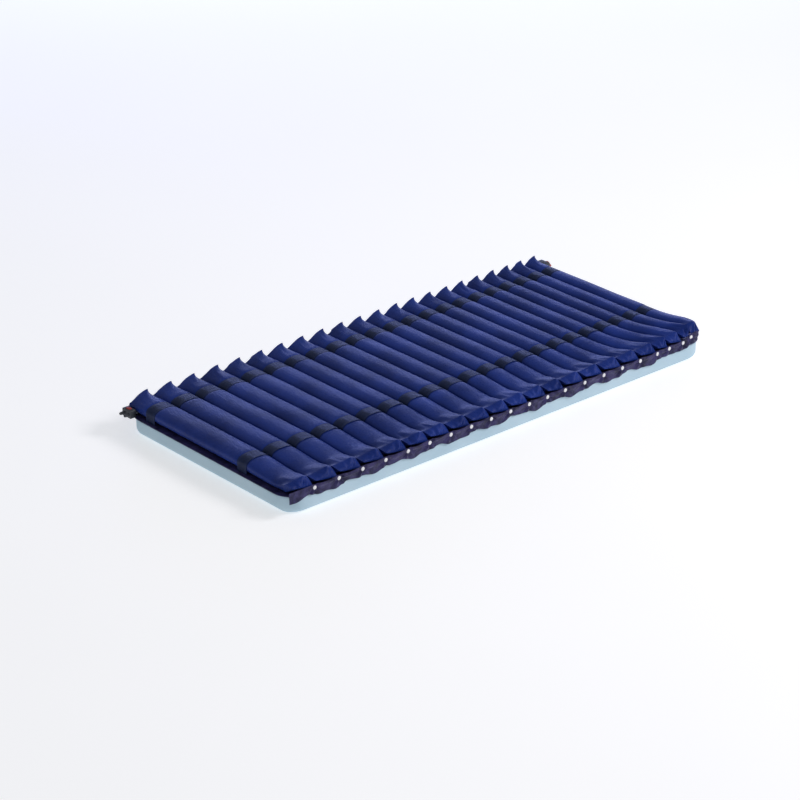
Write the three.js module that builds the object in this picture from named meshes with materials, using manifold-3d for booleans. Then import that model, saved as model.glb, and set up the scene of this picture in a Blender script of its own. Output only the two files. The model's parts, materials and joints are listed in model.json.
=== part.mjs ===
// Pressure relief mattress: a row of transverse air cells, tied to a base sheet, on a foam slab.
// Millimetres. +X runs to the head end, +Y across the mattress, +Z up. The origin is the middle of
// the rectangle that the mattress stands on. It is cut into six sections that fold about Y.
import * as THREE from "three";
import { mergeVertices } from "three/addons/utils/BufferGeometryUtils.js";
import Module from "manifold-3d";

// Heights, from the surface that the mattress rests on
const FOAM_TOP = 65;
const SHEET_UNDER = 65.3;
const SHEET_TOP = 66.8;
const CELL_UNDER = 67.2;
const CELL_CREST = 121;
const TIP_TOP = 133;
const SKIRT_HEM = 49;
const SKIRT_EDGE = 92;
const STUD_HEIGHT = 80;
const CELL_MIDDLE = (CELL_CREST + CELL_UNDER) / 2;
const CELL_HALF_HEIGHT = (CELL_CREST - CELL_UNDER) / 2;

// The gap between pieces that lie against each other, and how deep joined solids run into each other
const CLEARANCE = 0.3;
const OVERLAP = 1;

// Across the mattress, from its middle
const CELL_END = 442;
const FOAM_SIDE = 442.8;
const SKIRT_INNER = 443.5;
const SKIRT_OUTER = 445;
const STUD_FACE = 447.5;
const LOOP_ROWS = { far: 319, near: -185 };
const LOOP_WIDTH = 50;

// Along the mattress, from the foot end of the row of cells
const CELL_COUNT = 22;
const FOOT_PITCH = 106;
const HEAD_PITCH = 72;
// How far the near end of the gap after a cell is drawn towards the head, by cell number
const NEAR_SHIFT = { 14: 12, 15: 24, 16: 36, 17: 48, 18: 58, 19: 43, 20: 40, 21: 8 };
const SHIFT_FROM = -215;
const FOAM_OVERHANG = 4;
const SHEET_OVERHANG = 12;
const SECTIONS = [
  { name: "calf", first: 1, last: 6 },
  { name: "thigh", first: 7, last: 9 },
  { name: "seat", first: 10, last: 11 },
  { name: "lumbar_lower", first: 12, last: 12 },
  { name: "lumbar_upper", first: 13, last: 13 },
  { name: "back", first: 14, last: 22 },
];
const HALF_GAP = 0.15;

// Air cells
const CELL_SIDE_GAP = 1.9;
const CELL_ROUNDNESS = 2.4;
const RING_POINTS = 14;
const TIP_OFFSET = { far: 28, near: 17 };
const TIP_EDGE = 4;
const END_LOW_CORNER = 95;
const END_CLIMB = 0.8;
// The underside of an end, from below the tip back to the foot side: share of the half width, height
const END_UNDERSIDE = [
  [0.92, 108],
  [0.9, 92],
  [0.6, 86],
  [0.15, 85],
  [-0.35, 85],
  [-0.8, 88],
];
// How far each ring along the cell has changed from the round body to the flat welded end
const CELL_RINGS = [
  { y: -CELL_END, change: 1 },
  { y: -427, change: 0.75 },
  { y: -398, change: 0.3 },
  { y: -354, change: 0 },
  { y: SHIFT_FROM, change: 0 },
  { y: 354, change: 0 },
  { y: 398, change: 0.3 },
  { y: 427, change: 0.75 },
  { y: CELL_END, change: 1 },
];

// Retaining loops over the cells
const LOOP_THICKNESS = 1.2;
const LOOP_STEPS = RING_POINTS / 2;

// Foam corners
const FOAM_TOP_RADIUS = 12;
const FOAM_UNDER_RADIUS = 24;
const CORNER_STEPS = 4;

// Press studs
const STUD_RADIUS = 6.5;
const STUD_SIDES = 10;
const STUD_INSET = 7.5;
const STUD_ROOT = 444.2;

// Twin air line under the far ends of the cells, with one spout to each cell
const LINE_RADIUS = 4;
const BORE_RADIUS = 2.6;
const LINE_BORES = [416, 425];
const LINE_HEIGHT = SHEET_TOP + CLEARANCE + LINE_RADIUS;
const LINE_END = 2.7;
const SPOUT_RADIUS = 2.4;
const SPOUT_TOP = 77;
const SPOUT_INSET = 0.4;
const ROUND_SIDES = 8;

// Fittings at the two ends of the air line
const FITTING_BACK = 3;
const FITTING_SIDES = [392, 440];
const FITTING_MIDDLE = 416;
const FITTING_CORNER = 5;
const INLET_DEPTH = 26;
const INLET_TOP = 97;
const SPIGOT_RADIUS = 5.5;
const SPIGOT_LENGTH = 18;
const SPIGOT_SPACING = 25;
const SPIGOT_HEIGHT = 81;
const SPIGOT_SIDES = 10;
const BUTTON_SIZE = [12, 20];
const BUTTON_HEIGHT = 6;
const BUTTON_TRAVEL = 2.5;
const BUTTON_GAP = 0.5;
const VALVE_DEPTH = 26;
const VALVE_TOP = 108;
const KNOB_HEIGHT = 88;
const KNOB_RADIUS = 17;
const KNOB_THICKNESS = 9;
const KNOB_SIDES = 24;
const KNOB_GAP = 0.4;
const GRIP_SIZE = [7, 28, 7];
const SHAFT_RADIUS = 5;
const SHAFT_DEPTH = 9;
const SHAFT_BORE_DEPTH = 11;
const SHAFT_CLEARANCE = 0.6;
const SHAFT_SIDES = 16;

const MERGE_DISTANCE = 1e-4;

const wasm = await Module();
wasm.setup();

const finishes = {
  cell: { color: 0x2b3578, roughness: 0.45, metalness: 0 },
  loop: { color: 0x3a4468, roughness: 0.4, metalness: 0 },
  sheet: { color: 0x37305c, roughness: 0.7, metalness: 0 },
  foam: { color: 0xb9d2e2, roughness: 0.85, metalness: 0 },
  line: { color: 0xc9ced6, roughness: 0.35, metalness: 0 },
  fitting: { color: 0x3c4048, roughness: 0.5, metalness: 0 },
  control: { color: 0xa8322a, roughness: 0.45, metalness: 0 },
};

const mattress = new THREE.Group();

function addPiece(name, geometry, finish) {
  const mesh = new THREE.Mesh(geometry, new THREE.MeshStandardMaterial(finishes[finish]));
  mesh.name = name;
  mattress.add(mesh);
}

// ---- Solids -------------------------------------------------------------------------------------

function toSolid(geometry) {
  const bare = geometry.clone();
  bare.deleteAttribute("normal");
  bare.deleteAttribute("uv");
  const merged = mergeVertices(bare, MERGE_DISTANCE);
  return new wasm.Manifold(
    new wasm.Mesh({
      numProp: 3,
      vertProperties: merged.attributes.position.array,
      triVerts: new Uint32Array(merged.index.array),
    }),
  );
}

function toGeometry(solid) {
  const mesh = solid.getMesh();
  const geometry = new THREE.BufferGeometry();
  geometry.setAttribute("position", new THREE.BufferAttribute(mesh.vertProperties, 3));
  geometry.setIndex(new THREE.BufferAttribute(mesh.triVerts, 1));
  geometry.computeVertexNormals();
  return geometry;
}

function joined(geometries) {
  return toGeometry(geometries.map(toSolid).reduce((whole, piece) => whole.add(piece)));
}

function cut(geometry, tool) {
  return toGeometry(toSolid(geometry).subtract(toSolid(tool)));
}

function shapeOf(points, holes = []) {
  const shape = new THREE.Shape(points.map(([u, v]) => new THREE.Vector2(u, v)));
  for (const hole of holes) {
    shape.holes.push(new THREE.Path(hole.map(([u, v]) => new THREE.Vector2(u, v))));
  }
  return shape;
}

function extrude(shape, depth) {
  return new THREE.ExtrudeGeometry(shape, { depth, bevelEnabled: false });
}

// An outline in Y and Z, extruded along X
function extrudeAlongX(points, from, to, holes = []) {
  const turn = new THREE.Matrix4().makeBasis(
    new THREE.Vector3(0, 1, 0),
    new THREE.Vector3(0, 0, 1),
    new THREE.Vector3(1, 0, 0),
  );
  return extrude(shapeOf(points, holes), to - from).applyMatrix4(turn).translate(from, 0, 0);
}

// An outline in X and Z, extruded along Y
function extrudeAlongY(points, from, to) {
  const turn = new THREE.Matrix4().makeBasis(
    new THREE.Vector3(1, 0, 0),
    new THREE.Vector3(0, 0, 1),
    new THREE.Vector3(0, -1, 0),
  );
  return extrude(shapeOf(points), to - from).applyMatrix4(turn).translate(0, to, 0);
}

function circlePoints(u, v, radius, sides) {
  return Array.from({ length: sides }, (_, i) => {
    const angle = (2 * Math.PI * (i + 0.5)) / sides;
    return [u + radius * Math.cos(angle), v + radius * Math.sin(angle)];
  });
}

function box(sizeX, sizeY, sizeZ, x, y, z) {
  return new THREE.BoxGeometry(sizeX, sizeY, sizeZ).translate(x, y, z);
}

// ---- Layout along the mattress ------------------------------------------------------------------

const slots = [];
for (let i = 0, start = 0; i < CELL_COUNT; i += 1) {
  const pitch = FOOT_PITCH + ((HEAD_PITCH - FOOT_PITCH) * i) / (CELL_COUNT - 1);
  slots.push({ number: i + 1, start, end: start + pitch, centre: start + pitch / 2, half: pitch / 2 });
  start += pitch;
}
const ROW_LENGTH = slots[CELL_COUNT - 1].end;

// How far the gap after a cell is drawn towards the head, at a place across the mattress
function gapShift(number, y) {
  const share = THREE.MathUtils.smoothstep(-y, -SHIFT_FROM, CELL_END);
  return (NEAR_SHIFT[number] ?? 0) * share;
}

// The middle and half width of a cell's slot, at a place across the mattress
function slotAt(slot, y) {
  const from = slot.start + gapShift(slot.number - 1, y);
  const to = slot.end + gapShift(slot.number, y);
  return { centre: (from + to) / 2, half: (to - from) / 2 };
}

function cellsOf(section) {
  return slots.slice(section.first - 1, section.last);
}

// Where a section starts and ends, with an overhang past the row of cells at the two outer ends
function spanOf(section, overhang) {
  const from = slots[section.first - 1].start;
  const to = slots[section.last - 1].end;
  return [
    section.first === 1 ? from - overhang : from + HALF_GAP,
    section.last === CELL_COUNT ? to + overhang : to - HALF_GAP,
  ];
}

// ---- Air cells ----------------------------------------------------------------------------------

// The round body's outline: angle 0 is its foot side, and a quarter turn on is its crest
function bodyPoint(angle, halfWidth) {
  const power = 2 / CELL_ROUNDNESS;
  const across = -Math.sign(Math.cos(angle)) * Math.abs(Math.cos(angle)) ** power;
  const up = Math.sign(Math.sin(angle)) * Math.abs(Math.sin(angle)) ** power;
  return [halfWidth * across, CELL_MIDDLE + CELL_HALF_HEIGHT * up];
}

// The welded end's outline: it climbs from the foot side to a tip, and drops steeply behind it
function endPoint(index, halfWidth, tipOffset) {
  const upperSteps = RING_POINTS / 2;
  if (index > upperSteps) {
    const [share, height] = END_UNDERSIDE[index - upperSteps - 1];
    return [share * halfWidth, height];
  }
  const along = index / upperSteps;
  const climb = Math.sin((along * Math.PI) / 2) ** END_CLIMB;
  return [
    -halfWidth + (tipOffset + halfWidth) * along,
    END_LOW_CORNER + (TIP_TOP - END_LOW_CORNER) * climb,
  ];
}

function cellRing(ring, halfWidth) {
  const offset = ring.y > 0 ? TIP_OFFSET.far : TIP_OFFSET.near;
  const tipOffset = Math.min(offset, halfWidth - TIP_EDGE);
  return Array.from({ length: RING_POINTS }, (_, index) => {
    const body = bodyPoint((2 * Math.PI * index) / RING_POINTS, halfWidth);
    const end = endPoint(index, halfWidth, tipOffset);
    return body.map((value, axis) => value + (end[axis] - value) * ring.change);
  });
}

// Triangles that close a ring, turned so that their normals point along -Y (1) or +Y (-1)
function capFaces(ring, firstVertex, turn) {
  const contour = ring.map(([x, z]) => new THREE.Vector2(x, z));
  return THREE.ShapeUtils.triangulateShape(contour, []).flatMap((triangle) => {
    const clockwise = THREE.ShapeUtils.isClockWise(triangle.map((i) => contour[i]));
    const [a, b, c] = triangle.map((i) => i + firstVertex);
    return clockwise === turn < 0 ? [a, b, c] : [c, b, a];
  });
}

function cellGeometry(slot) {
  const places = CELL_RINGS.map((ring) => slotAt(slot, ring.y));
  const rings = CELL_RINGS.map((ring, row) => cellRing(ring, places[row].half - CELL_SIDE_GAP));
  const positions = [];
  const faces = [];
  rings.forEach((ring, row) => {
    for (const [x, z] of ring) positions.push(places[row].centre + x, CELL_RINGS[row].y, z);
  });
  for (let row = 0; row < rings.length - 1; row += 1) {
    for (let i = 0; i < RING_POINTS; i += 1) {
      const next = (i + 1) % RING_POINTS;
      const a = row * RING_POINTS + i;
      const b = row * RING_POINTS + next;
      faces.push(a, b, a + RING_POINTS, b, b + RING_POINTS, a + RING_POINTS);
    }
  }
  const lastRow = (rings.length - 1) * RING_POINTS;
  faces.push(...capFaces(rings[0], 0, 1));
  faces.push(...capFaces(rings[rings.length - 1], lastRow, -1));
  const geometry = new THREE.BufferGeometry();
  geometry.setAttribute("position", new THREE.Float32BufferAttribute(positions, 3));
  geometry.setIndex(faces);
  geometry.computeVertexNormals();
  return geometry;
}

function addCells() {
  for (const slot of slots) {
    addPiece(`air_cell_${String(slot.number).padStart(2, "0")}`, cellGeometry(slot), "cell");
  }
}

// ---- Retaining loops ----------------------------------------------------------------------------

// The arch of a loop over one cell, at a given distance from the cell, from foot side to head side
function archPoints(slot, distance) {
  const halfWidth = slot.half - CELL_SIDE_GAP;
  const stretchX = (halfWidth + distance) / halfWidth;
  const stretchZ = (CELL_HALF_HEIGHT + distance) / CELL_HALF_HEIGHT;
  return Array.from({ length: LOOP_STEPS + 1 }, (_, i) => {
    const [x, z] = bodyPoint((Math.PI * i) / LOOP_STEPS, halfWidth);
    return [slot.centre + x * stretchX, CELL_MIDDLE + (z - CELL_MIDDLE) * stretchZ];
  });
}

// One row of loops: a strip that arches over each cell and stands on the base sheet between them
function loopOutline(cells) {
  const foot = SHEET_TOP + CLEARANCE;
  const outer = [];
  const inner = [];
  for (const slot of cells) {
    const over = archPoints(slot, CLEARANCE + LOOP_THICKNESS);
    const under = archPoints(slot, CLEARANCE);
    outer.push(...over);
    inner.push([under[0][0], foot], ...under, [under[LOOP_STEPS][0], foot]);
  }
  const left = [outer[0][0], foot];
  const right = [outer[outer.length - 1][0], foot];
  return [left, ...outer, right, ...inner.reverse()].reverse();
}

function addLoops(section) {
  for (const [row, middle] of Object.entries(LOOP_ROWS)) {
    const outline = loopOutline(cellsOf(section));
    const strip = extrudeAlongY(outline, middle - LOOP_WIDTH / 2, middle + LOOP_WIDTH / 2);
    addPiece(`${row}_loops_${section.name}`, strip, "loop");
  }
}

// ---- Foam slab and base sheet -------------------------------------------------------------------

function corner(y, z, radius, fromAngle) {
  return Array.from({ length: CORNER_STEPS + 1 }, (_, i) => {
    const angle = fromAngle + (Math.PI / 2) * (i / CORNER_STEPS);
    return [y + radius * Math.cos(angle), z + radius * Math.sin(angle)];
  });
}

function foamOutline() {
  const under = FOAM_UNDER_RADIUS;
  const top = FOAM_TOP_RADIUS;
  return [
    ...corner(FOAM_SIDE - under, under, under, -Math.PI / 2),
    ...corner(FOAM_SIDE - top, FOAM_TOP - top, top, 0),
    ...corner(-FOAM_SIDE + top, FOAM_TOP - top, top, Math.PI / 2),
    ...corner(-FOAM_SIDE + under, under, under, Math.PI),
  ];
}

function addFoam(section) {
  const [from, to] = spanOf(section, FOAM_OVERHANG);
  addPiece(`foam_base_${section.name}`, extrudeAlongX(foamOutline(), from, to), "foam");
}

function sheetOutline() {
  const right = [
    [SKIRT_INNER, SHEET_UNDER],
    [SKIRT_INNER, SKIRT_HEM],
    [SKIRT_OUTER, SKIRT_HEM],
    [SKIRT_OUTER, SKIRT_EDGE],
    [SKIRT_INNER, SKIRT_EDGE],
    [SKIRT_INNER, SHEET_TOP],
  ];
  const left = right.map(([y, z]) => [-y, z]).reverse();
  return [...right, ...left];
}

function studGeometry(x, side) {
  const outline = circlePoints(x, STUD_HEIGHT, STUD_RADIUS, STUD_SIDES);
  return side > 0
    ? extrudeAlongY(outline, STUD_ROOT, STUD_FACE)
    : extrudeAlongY(outline, -STUD_FACE, -STUD_ROOT);
}

// The sheet under the cells, its two upturned skirts, and a press stud on each skirt at every gap
// between two cells
function addSheet(section) {
  const [from, to] = spanOf(section, SHEET_OVERHANG);
  const gaps = cellsOf(section).filter((slot) => slot.number < CELL_COUNT);
  const studs = gaps.flatMap((slot) =>
    [1, -1].map((side) => {
      const x = slot.end + gapShift(slot.number, side * CELL_END) - STUD_INSET;
      return studGeometry(x, side);
    }),
  );
  const sheet = joined([extrudeAlongX(sheetOutline(), from, to), ...studs]);
  addPiece(`base_sheet_${section.name}`, sheet, "sheet");
}

// ---- Air line -----------------------------------------------------------------------------------

function lineOutline() {
  const [first, second] = LINE_BORES;
  const side = (y, fromAngle) =>
    Array.from({ length: CORNER_STEPS + 1 }, (_, i) => {
      const angle = fromAngle + (Math.PI * i) / CORNER_STEPS;
      return [y + LINE_RADIUS * Math.cos(angle), LINE_HEIGHT + LINE_RADIUS * Math.sin(angle)];
    });
  return [...side(second, -Math.PI / 2), ...side(first, Math.PI / 2)];
}

// Odd cells are fed from one bore and even cells from the other
function spoutGeometry(slot) {
  const root = LINE_HEIGHT + BORE_RADIUS + SPOUT_INSET;
  return new THREE.CylinderGeometry(SPOUT_RADIUS, SPOUT_RADIUS, SPOUT_TOP - root, ROUND_SIDES)
    .rotateX(Math.PI / 2)
    .translate(slot.centre, LINE_BORES[slot.number % 2], (SPOUT_TOP + root) / 2);
}

function addAirLine(section) {
  const [from, to] = spanOf(section, LINE_END);
  const bores = LINE_BORES.map((y) => circlePoints(y, LINE_HEIGHT, BORE_RADIUS, ROUND_SIDES));
  const line = extrudeAlongX(lineOutline(), from, to, bores);
  const spouts = cellsOf(section).map(spoutGeometry);
  addPiece(`air_line_${section.name}`, joined([line, ...spouts]), "line");
}

// ---- Fittings -----------------------------------------------------------------------------------

function fittingBlock(from, to, top) {
  const [inner, outer] = FITTING_SIDES;
  const bottom = SHEET_TOP + CLEARANCE;
  const r = FITTING_CORNER;
  const outline = [
    [inner, bottom],
    [outer, bottom],
    ...corner(outer - r, top - r, r, 0),
    ...corner(inner + r, top - r, r, Math.PI / 2),
  ];
  return extrudeAlongX(outline, from, to);
}

function roundAlongX(y, z, radius, from, to, sides) {
  return extrudeAlongX(circlePoints(y, z, radius, sides), from, to);
}

// The hose inlet at the foot end: two spigots for the pump's hoses, and a latch button on top
function addInlet() {
  const face = -FITTING_BACK - INLET_DEPTH;
  const middleX = -FITTING_BACK - INLET_DEPTH / 2;
  const spigots = [-0.5, 0.5].map((share) =>
    roundAlongX(FITTING_MIDDLE + share * SPIGOT_SPACING, SPIGOT_HEIGHT, SPIGOT_RADIUS,
      face - SPIGOT_LENGTH, face + OVERLAP, SPIGOT_SIDES),
  );
  const body = joined([fittingBlock(face, -FITTING_BACK, INLET_TOP), ...spigots]);
  const [sizeX, sizeY] = BUTTON_SIZE;
  const buttonFloor = INLET_TOP - BUTTON_HEIGHT + BUTTON_TRAVEL;
  const pocketFloor = buttonFloor - BUTTON_TRAVEL - BUTTON_GAP;
  const pocketDepth = INLET_TOP - pocketFloor + OVERLAP;
  const pocket = box(sizeX + 2 * BUTTON_GAP, sizeY + 2 * BUTTON_GAP, pocketDepth,
    middleX, FITTING_MIDDLE, pocketFloor + pocketDepth / 2);
  addPiece("hose_inlet_body", cut(body, pocket), "fitting");
  const button = box(sizeX, sizeY, BUTTON_HEIGHT, middleX, FITTING_MIDDLE,
    buttonFloor + BUTTON_HEIGHT / 2);
  addPiece("hose_inlet_button", button, "control");
}

// The quick-release valve at the head end: a quarter turn of the knob lets the air out of every cell
function addValve() {
  const back = ROW_LENGTH + FITTING_BACK;
  const face = back + VALVE_DEPTH;
  const block = fittingBlock(back, face, VALVE_TOP);
  const bore = roundAlongX(FITTING_MIDDLE, KNOB_HEIGHT, SHAFT_RADIUS + SHAFT_CLEARANCE,
    face - SHAFT_BORE_DEPTH, face + OVERLAP, SHAFT_SIDES);
  addPiece("release_valve_body", cut(block, bore), "fitting");
  const knobFrom = face + KNOB_GAP;
  const knobTo = knobFrom + KNOB_THICKNESS;
  const disc = roundAlongX(FITTING_MIDDLE, KNOB_HEIGHT, KNOB_RADIUS, knobFrom, knobTo, KNOB_SIDES);
  const shaft = roundAlongX(FITTING_MIDDLE, KNOB_HEIGHT, SHAFT_RADIUS,
    face - SHAFT_DEPTH, knobFrom + OVERLAP, SHAFT_SIDES);
  const [gripX, gripY, gripZ] = GRIP_SIZE;
  const grip = box(gripX + OVERLAP, gripY, gripZ, knobTo + (gripX - OVERLAP) / 2,
    FITTING_MIDDLE, KNOB_HEIGHT);
  addPiece("release_valve_knob", joined([disc, shaft, grip]), "control");
}

// ---- The whole mattress -------------------------------------------------------------------------

addCells();
for (const section of SECTIONS) {
  addFoam(section);
  addSheet(section);
  addLoops(section);
  addAirLine(section);
}
addInlet();
addValve();

const size = new THREE.Box3().setFromObject(mattress);
const middle = size.getCenter(new THREE.Vector3());
mattress.position.set(-middle.x, -middle.y, -size.min.z);

export default mattress;
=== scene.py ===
"""Pressure relief mattress: Blender shapes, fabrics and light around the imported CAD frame. Metres, Z up."""
import json
import math

import bmesh
import bpy
import numpy as np
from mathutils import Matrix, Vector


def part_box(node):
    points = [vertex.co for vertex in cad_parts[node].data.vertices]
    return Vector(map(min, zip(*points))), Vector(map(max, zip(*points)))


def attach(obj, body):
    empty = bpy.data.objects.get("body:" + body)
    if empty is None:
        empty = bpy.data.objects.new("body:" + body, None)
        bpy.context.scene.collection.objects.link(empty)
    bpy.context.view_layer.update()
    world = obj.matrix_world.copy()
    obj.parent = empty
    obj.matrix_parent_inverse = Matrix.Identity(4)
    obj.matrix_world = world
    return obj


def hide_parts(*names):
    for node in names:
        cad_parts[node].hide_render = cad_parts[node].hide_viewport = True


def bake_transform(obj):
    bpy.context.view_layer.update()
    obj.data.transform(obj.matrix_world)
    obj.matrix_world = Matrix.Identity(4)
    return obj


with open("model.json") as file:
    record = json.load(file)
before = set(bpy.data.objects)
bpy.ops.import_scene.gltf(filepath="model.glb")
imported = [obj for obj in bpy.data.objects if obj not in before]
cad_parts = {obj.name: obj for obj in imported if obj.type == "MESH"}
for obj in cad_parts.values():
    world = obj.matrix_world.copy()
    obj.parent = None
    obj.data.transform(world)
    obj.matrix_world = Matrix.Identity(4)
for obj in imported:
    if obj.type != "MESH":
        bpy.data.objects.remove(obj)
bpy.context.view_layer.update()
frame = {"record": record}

MM = 0.001
TAU = 2 * math.pi
SHARP_ANGLE = math.radians(60)
EDGE_SEGMENTS = 3

# Camera, at the photograph's viewing angle
CAMERA_PLACE = (-5.9742, -6.6463, 4.1347)
CAMERA_AZIMUTH = math.radians(-41.4)
CAMERA_ELEVATION = math.radians(25.0)
CAMERA_LENS = 123.8
CAMERA_REACH = 100

# The world's light, and each area light's place, width and height, power and colour; and the floor
WORLD_COLOUR = (0.92, 0.95, 1.0)
WORLD_STRENGTH = 0.40
LIGHTS = {
    "key": ((3.7, -4.2, 4.5), (2.2, 2.2), 215, (1.0, 0.96, 1.0)),
    "rim": ((4.2, 5.4, 1.0), (6.0, 1.0), 80, (0.34, 0.42, 1.0)),
}
FLOOR_SHADES = (0.99 * 0.78, 1.01 * 0.78)
FLOOR_DRIFT = 0.7
FLOOR_GLOW = 0.46
FLOOR_SIZE = 30.0
FLOOR_DROP = 0.5 * MM

# Sections from the foot end, which fold about the lines between them, and the mattress's two sides
SECTIONS = ["calf", "thigh", "seat", "lumbar_lower", "lumbar_upper", "back"]
SIDES = {"near": -1, "far": 1}

# Slots of the air cells along the mattress: pitch, and how far (in mm) the near end of the gap after a
# cell is drawn towards the head
CELL_COUNT = 22
FOOT_PITCH = 106 * MM
HEAD_PITCH = 72 * MM
NEAR_SHIFT = {14: 12, 15: 24, 16: 36, 17: 48, 18: 58, 19: 43, 20: 40, 21: 8}
SHIFT_FROM = 215 * MM
SHIFT_TO = 442 * MM

# Air cells: the gap beside each, how square their round is, their steps, and their crest's height and width
# (share of the top)
SIDE_GAP = 1.9 * MM
ROUNDNESS = 2.4
UPPER_STEPS = 32
LOWER_STEPS = 14
CREST_STEP = UPPER_STEPS // 2
CREST = 121 * MM
CREST_WIDTH = 0.15
TIP_EDGE = 4 * MM
# Where the ends start across the mattress, and their rings and the body's
END_START = 350 * MM
END_ROWS = 13
FACE_ROWS = 10
ROW_STEP = 14 * MM
CELL_SEED = 100
# The ridge of a near end (-1) and of a far end (1), in mm: its tip and two corners; how its outline climbs,
# spreads and drops; how early the body starts to change, how sharp the fold stays, and how far its
# corners recede inward and lean towards the foot
RIDGE = {
    -1: {"y": 424, "tip_x": 12, "tip_z": 125.5, "foot_z": 109, "head_z": 110, "climb": 1.15, "spread": 1.0,
         "drop": 0.8, "early": 1.5, "late": 2.4, "crisp": 0.85, "soften": 3, "recede": 17, "lean": 9},
    1: {"y": 440, "tip_x": 28, "tip_z": 133, "foot_z": 95, "head_z": 95, "climb": 0.8, "spread": 1.2,
        "drop": 1.5, "early": 1.7, "late": 2.7, "crisp": 1.0, "soften": 1, "recede": 0, "lean": 0},
}
# The near end of the last cell closes in a rounded oval
LAST_NEAR_END = {"tip_x": -4, "tip_z": 125, "foot_z": 114, "head_z": 100, "climb": 0.6, "drop": 0.45,
                 "crisp": 0.2}
# How much each end differs from that (in y only the near ones)
VARIES = {"y": (-2, 2), "tip_x": (-2.5, 2.5), "tip_z": (-1.2, 0.4), "foot_z": (-2, 2), "head_z": (-2, 2)}
# How far an end's top reaches to the foot and to the head (shares of the half width), which is cut short
# at the mattress's two near corners (side, cell)
FULL_REACH = (-1.0, 1.0)
CUT_REACH = {(-1, 1): (-0.85, 1.0), (-1, CELL_COUNT): (-1.0, 0.75)}
# The walls under an end's top (share of its reach, height), and the middle below them
END_WALL = [(0.97, 92 * MM), (0.86, 80 * MM)]
END_WALL_LOW = 75 * MM
# How soon an end's rings close up, and how sharply its corners recede
ROW_EASE = 1.3
CORNER_POWER = 1.6
# How far the near edge stands up towards the head: places along the mattress, heights there, and where it
# starts and ends across
LIFT_AT = [700 * MM, 800 * MM, 870 * MM, 915 * MM, 960 * MM]
LIFT = [0, 5 * MM, 6 * MM, 19 * MM, 20 * MM]
LIFT_ACROSS = (212 * MM, 424 * MM)
# How deep a near end sags before its tip, where that starts and is deepest across the mattress, and where
# along it that fades out
SAG = 13 * MM
SAG_ACROSS = (170 * MM, 358 * MM)
SAG_FADE = (640 * MM, 860 * MM)
SAG_EASE = 0.9
# The flat weld: its place across, its height at a cell's foot side, at the last cell's and at a head side,
# how its top line falls, its thickness, and how far its ends keep from the studs and the row's corners
WELD_Y = 440 * MM
WELD_Z = 104 * MM
WELD_Z_LAST = 92 * MM
WELD_END_Z = 86 * MM
WELD_FALL = 0.6
WELD_THICKNESS = 1.6 * MM
WELD_CLEAR = (4.5 * MM, 3 * MM)
WELD_CORNERS = (8 * MM, 20 * MM)
# The end face's fold: how far it leans to the foot, how steep it is, how far the cloth beyond it reaches
# (shares of the top) and bulges, and how its place and bulge differ
FOLD_LEAN = 0.32
FOLD_EDGE = 0.06
FOLD_SPREAD = 0.75
FOLD_OUT = 6 * MM
FOLD_WANDER = 0.04
FOLD_VARIES = (0.7, 1.25)
# The whole face's bulge, and how soon it reaches the weld
FACE_OUT = 2.5 * MM
FACE_EASE = 0.8
# Folds that run out over the top to each end: their number, depth in mm, how much deeper they are in the
# end face, their places and widths (shares of the top), how they gather, and how they swell and die out
FOLD_COUNT = 7
FOLD_DEPTH = 1.9
FACE_FOLDS = 3.8
FOLD_PLACES = (0.06, 0.94)
FOLD_WIDTHS = (0.03, 0.07)
FOLD_GATHER = 0.45
FACE_GATHER = 0.3
FOLD_RUN = 0.9
FOLD_SWELL = 1.3
# Ripples along a cell's top: their number, rate and depth in mm
RIPPLE_COUNT = 4
RIPPLE_RATES = (9, 26)
RIPPLE_DEPTHS = (0.2, 0.5)
# Where the loops cross the cells, and how far they pinch them
LOOP_ROWS = {"far": 319 * MM, "near": -185 * MM}
LOOP_HALF = 25 * MM
PINCH = 1.6 * MM
PINCH_FALL = 6 * MM
# Where the body has extra rings, in mm from a loop's edge, and how close an even ring may come to them
PINCH_RINGS = (-2, 1, 3.5, 6.5)
RING_CLEARANCE = 5 * MM

# Retaining loops
LOOP_SEEDS = {"far": 550, "near": 500}
LOOP_LIFT = 0.9 * MM
LOOP_THICKNESS = 0.7 * MM
LOOP_ARCH_STEPS = 28
LOOP_COLUMNS = 11
LOOP_FOOT = 1.1 * MM
LOOP_ROUGH = 0.25 * MM
# The share of each arch, from its foot side, that gets painted shade, how far that patch keeps from the
# edges, and the width of the darker strip along each edge
PAINTED_SHADE_TO = 0.42
PATCH_INSET = 7 * MM
LOOP_DARK_EDGE = 1 * MM

# Base sheet and its skirts
SHEET_Z = 66.05 * MM
SHEET_COLUMNS = 41
SHEET_THICKNESS = 1.2 * MM
SHEET_HALF = 443.2 * MM
SKIRT_Y = 444.2 * MM
SKIRT_OUT = 0.9 * MM
SKIRT_EDGE = 91 * MM
# Its top edge's dip between two studs: its depth, where it is deepest, how full it is, how it varies
SKIRT_DIP = 3 * MM
DIP_SKEW = 0.7
DIP_FULL = 0.9
DIP_VARIES = (0.85, 0.25, 23)
# The hem's height, its waves (length, depth, times the phase), and the share of them that is pulled out
# where the near edge stands up
SKIRT_HEM = 53 * MM
HEM_WAVES = [(187 * MM, 5.5 * MM, 1), (83 * MM, 3 * MM, 2)]
HEM_PHASES = {-1: 0.6, 1: 2.4}
HEM_TAUT = 0.8
# How far the skirt's head end slants, and over what length
SLANT = 14 * MM
SLANT_REACH = 40 * MM
# How far the skirt stands out between two studs at its top, and in waves at its hem
BILLOW = 2.2 * MM
HEM_OUT = 2.4 * MM
HEM_OUT_RATE = 31
# Its grid, and how far it stops short of the sheet's foot end and head end
SKIRT_ROWS = 18
SKIRT_STEP = 4 * MM
SKIRT_SHORT = (4 * MM, 39 * MM)
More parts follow.
